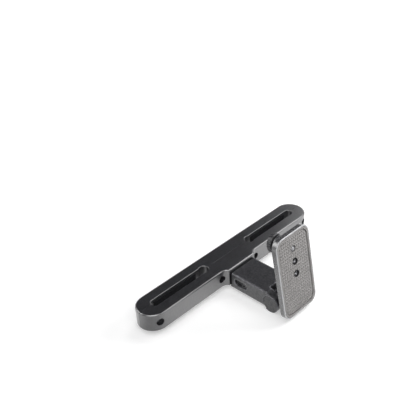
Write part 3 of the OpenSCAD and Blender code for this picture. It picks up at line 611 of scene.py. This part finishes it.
half_wide, half_long = PAD_HALF - MARGIN - GROOVE, PAD_LONG - MARGIN - GROOVE
block = run_tree(knurling, Columns=2 * math.ceil(half_wide / STEP_ACROSS) + 3,
                 Rows=2 * math.ceil(half_long / STEP_ALONG) + 3, Step_Across=STEP_ACROSS,
                 Step_Along=STEP_ALONG, Height=KNURL_HEIGHT, Depth=BLOCK_DEPTH, Finish=finishes["pad_rubber"])
upright = Matrix.Rotation(math.pi / 2, 4, "X")
block.transform(Matrix.Translation((0, PAD_FRONT + KNURL_HEIGHT, PAD_MIDDLE)) @ upright)
field = cut_with(block, prism(half_wide, half_long, PAD_CORNER, PAD_FRONT - PAST, PAD_REAR, PAD_MIDDLE),
                 "INTERSECT")
edging = cut_with(skin, prism(half_wide + GROOVE, half_long + GROOVE, PAD_CORNER + GROOVE, PAD_FRONT - PAST,
                              PAD_REAR + PAST, PAD_MIDDLE), "DIFFERENCE")
for drop in (0, 1, 2):
    middle = STUD_HIGH - drop * HOLE_PITCH
    field = cut_with(field, round_prism(HOLE_RADIUS, PAD_FRONT - PAST, PAD_REAR + PAST, middle), "DIFFERENCE")
rest = bpy.data.meshes.new("pad_margin")
edging.to_mesh(rest)
field.from_mesh(rest)
bmesh.ops.transform(field, matrix=on_plate, verts=field.verts)
piece_from(field, "knurled_pad", "head", "pad_rubber", ["grip_pad"], 20)

# %% [markdown]
# ## The free holes
# Two of the pad's holes are free. A black sleeve lines each one as painted shade inside the hole,
# and a bright steel end closes the bush behind it, so that the hole shows a pale spot beside a black crescent.
# %% Line the free holes
SLEEVE_DEPTH, END_DEPTH, END_THICK = 0.3 * MM, 3.3 * MM, 0.6 * MM
for place, drop in (("middle", 1), ("lower", 2)):
    middle = STUD_HIGH - drop * HOLE_PITCH
    # Painted shade: the black sleeve darkens the hole's wall, which lies in shade.
    sleeve = cut_with(round_prism(SLEEVE_OUTER, PAD_FRONT + SLEEVE_DEPTH, PAD_REAR, middle),
                      round_prism(SLEEVE_INNER, PAD_FRONT - PAST, PAD_REAR + PAST, middle), "DIFFERENCE")
    bmesh.ops.transform(sleeve, matrix=on_plate, verts=sleeve.verts)
    piece_from(sleeve, f"hole_sleeve_{place}", "head", "washer_rubber", [])
    end = round_prism(END_RADIUS, PAD_FRONT + END_DEPTH, PAD_FRONT + END_DEPTH + END_THICK, middle)
    bmesh.ops.transform(end, matrix=on_plate, verts=end.verts)
    piece_from(end, f"bush_end_{place}", "head", "nut_steel", [])

# %% [markdown]
# ## A band of painted shade
# A thin black band of rubber runs round the rear end of the arm, where it meets the rail, as
# painted shade in the gap there. It is a slice of the arm's own skin, cut by one plane and let out by a hair.
# %% Band the arm's end
BAND_WIDE, LET_OUT = 1.3 * MM, 0.06 * MM
skin = skin_of("arm_sleeve")
ARM_REAR = max(vert.co.y for vert in skin.verts)
slice_skin(skin, (0, ARM_REAR - BAND_WIDE, 0), (0, -1, 0), clear_outer=True)
low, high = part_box("arm_sleeve")
band_middle = (low + high) / 2
for vert in skin.verts:
    across = abs(vert.co.x) / (high.x - low.x)
    upward = abs(vert.co.z - band_middle.z) / (high.z - low.z)
    if max(across, upward) > 0.42:
        vert.co.x += math.copysign(LET_OUT, vert.co.x)
        vert.co.z += math.copysign(LET_OUT, vert.co.z - band_middle.z)
# Painted shade: the black band darkens the gap where the arm meets the rail.
piece_from(skin, "arm_end_band", "arm", "washer_rubber", [])
print("arm box in mm:", [round(v / MM, 1) for v in (*low, *high)])

# %% [markdown]
# ## Floor
# The mount lies on a white paper floor, a plain matt sheet. For the camera it also gives a
# little light of its own, so that it comes out white and still keeps the soft shadow, and the
# far floor gives more, so that a low view has no grey horizon. For a reflection it gives light
# too, except in a small pool at the rail's left end, which therefore comes out darker.
# %% Lay the floor
FLOOR_GAP, FLOOR_HALF, POOL_X, POOL_Y = 0.2 * MM, 6, -0.17, -0.04
POOL_GLOW, NEAR_GLOW, PAPER = 0.46, 0.37, (0.72, 0.72, 0.72, 1)
floor_z = cad_low.z - FLOOR_GAP
corners = [(x * FLOOR_HALF, y * FLOOR_HALF, floor_z) for x, y in ((-1, -1), (1, -1), (1, 1), (-1, 1))]
floor_mesh = bpy.data.meshes.new("paper_floor")
floor_mesh.from_pydata(corners, [], [(0, 1, 2, 3)])
floor = bpy.data.objects.new("paper_floor", floor_mesh)
scene.collection.objects.link(floor)
paper = bpy.data.materials.new("white paper")
paper.use_nodes = True
tree = paper.node_tree
tree.nodes.clear()
ray = tree.nodes.new("ShaderNodeLightPath").outputs
place = tree.nodes.new("ShaderNodeTexCoord").outputs["Object"]
from_end = add_node(tree, "ShaderNodeVectorMath", i0=place, i1=(POOL_X, POOL_Y, floor_z))
from_end.operation = "DISTANCE"
pool = add_node(tree, "ShaderNodeMath", i1=ray["Is Glossy Ray"],
                i0=ranged(tree, from_end.outputs["Value"], 0.03, 0.075, 0, POOL_GLOW))
pool.operation = "MULTIPLY"
far = add_node(tree, "ShaderNodeVectorMath", i0=place)
far.operation = "LENGTH"
for_camera = add_node(tree, "ShaderNodeMath", i0=ray["Is Camera Ray"], i1=ray["Is Transmission Ray"])
for_camera.operation = "MAXIMUM"
glow = add_node(tree, "ShaderNodeMath", i0=for_camera.outputs[0], i2=pool.outputs[0],
                i1=ranged(tree, far.outputs["Value"], 0.25, 1.2, NEAR_GLOW, 1))
glow.operation = "MULTIPLY_ADD"
own_light = add_node(tree, "ShaderNodeEmission", Strength=glow.outputs[0])
matt = tree.nodes.new("ShaderNodeBsdfDiffuse")
matt.inputs["Color"].default_value = PAPER
both = add_node(tree, "ShaderNodeAddShader", i0=own_light.outputs[0], i1=matt.outputs[0])
tree.links.new(both.outputs[0], tree.nodes.new("ShaderNodeOutputMaterial").inputs["Surface"])
floor_mesh.materials.append(paper)
print("floor at z in mm:", round(floor_z / MM, 2))

# %% [markdown]
# ## Light
# A large soft lamp hangs overhead and smaller ones stand round the mount. A plastic as dark as
# this one is seen mostly by what it mirrors, so the two lamps at the right only shade, and the
# four cards only shine: the gloss of each face is set without changing the shadows.
# %% Set the lamps
def soft_lamp(name, turn, rise, distance, size, radiance, shade=True, shine=True):
    lamp = bpy.data.lights.new(name, "AREA")
    lamp.shape = "RECTANGLE"
    lamp.size, lamp.size_y = size
    lamp.energy = radiance * size[0] * size[1] * math.pi
    holder = bpy.data.objects.new(name, lamp)
    scene.collection.objects.link(holder)
    turn, rise = math.radians(turn), math.radians(rise)
    back = Vector((math.sin(turn) * math.cos(rise), -math.cos(turn) * math.cos(rise), math.sin(rise)))
    holder.location = back * distance
    holder.visible_camera = False
    holder.visible_diffuse, holder.visible_glossy = shade, shine
    holder.rotation_euler = back.to_track_quat("Z", "Y").to_euler()
    print(name, "watts:", round(lamp.energy, 1))


soft_lamp("top_lamp", -47, 55, 1.5, (1.4, 1.6), 2.5)
soft_lamp("back_right_lamp", 108, 62, 1.3, (0.6, 0.5), 4.2, shine=False)
soft_lamp("near_right_lamp", 52, 35, 0.55, (0.28, 0.25), 8, shine=False)
soft_lamp("back_left_lamp", -145, 40, 1.5, (1.4, 0.7), 1)
soft_lamp("front_right_card", 48, 38, 1.19, (1.0, 0.8), 3.5, shade=False)
soft_lamp("back_left_card", -143, 36, 1.49, (1.0, 0.7), 3, shade=False)
soft_lamp("top_left_card", -47, 58, 1.49, (1.0, 0.9), 1.8, shade=False)
soft_lamp("right_card", 110, 30, 1.5, (0.55, 0.5), 1.6, shade=False)

# %% [markdown]
# ## The room
# The room is what the gloss mirrors where no lamp stands. It is pale near the floor, dim above
# and white for the camera, and its two tones meet in a soft band.
# %% Set the room
WHITE, DIM, BAND_LOW, BAND_HIGH = (1, 1, 1), (0.025, 0.025, 0.027), 0.12, 0.25
world = bpy.data.worlds.new("studio")
scene.world = world
world.use_nodes = True
tree = world.node_tree
sky = tree.nodes.new("ShaderNodeTexCoord").outputs["Generated"]
height = add_node(tree, "ShaderNodeSeparateXYZ", Vector=sky)
room = mixed(tree, ranged(tree, height.outputs["Z"], BAND_LOW, BAND_HIGH, 0, 1), WHITE, DIM)
for_camera = tree.nodes.new("ShaderNodeLightPath").outputs["Is Camera Ray"]
tree.links.new(mixed(tree, for_camera, room, WHITE), tree.nodes["Background"].inputs["Color"])
print("world:", world.name)

# %% [markdown]
# ## Bring the scene up to date
# The last step updates the scene. The dressed mount has to stay inside the box of its
# solids.
# %% Update the scene
bpy.context.view_layer.update()
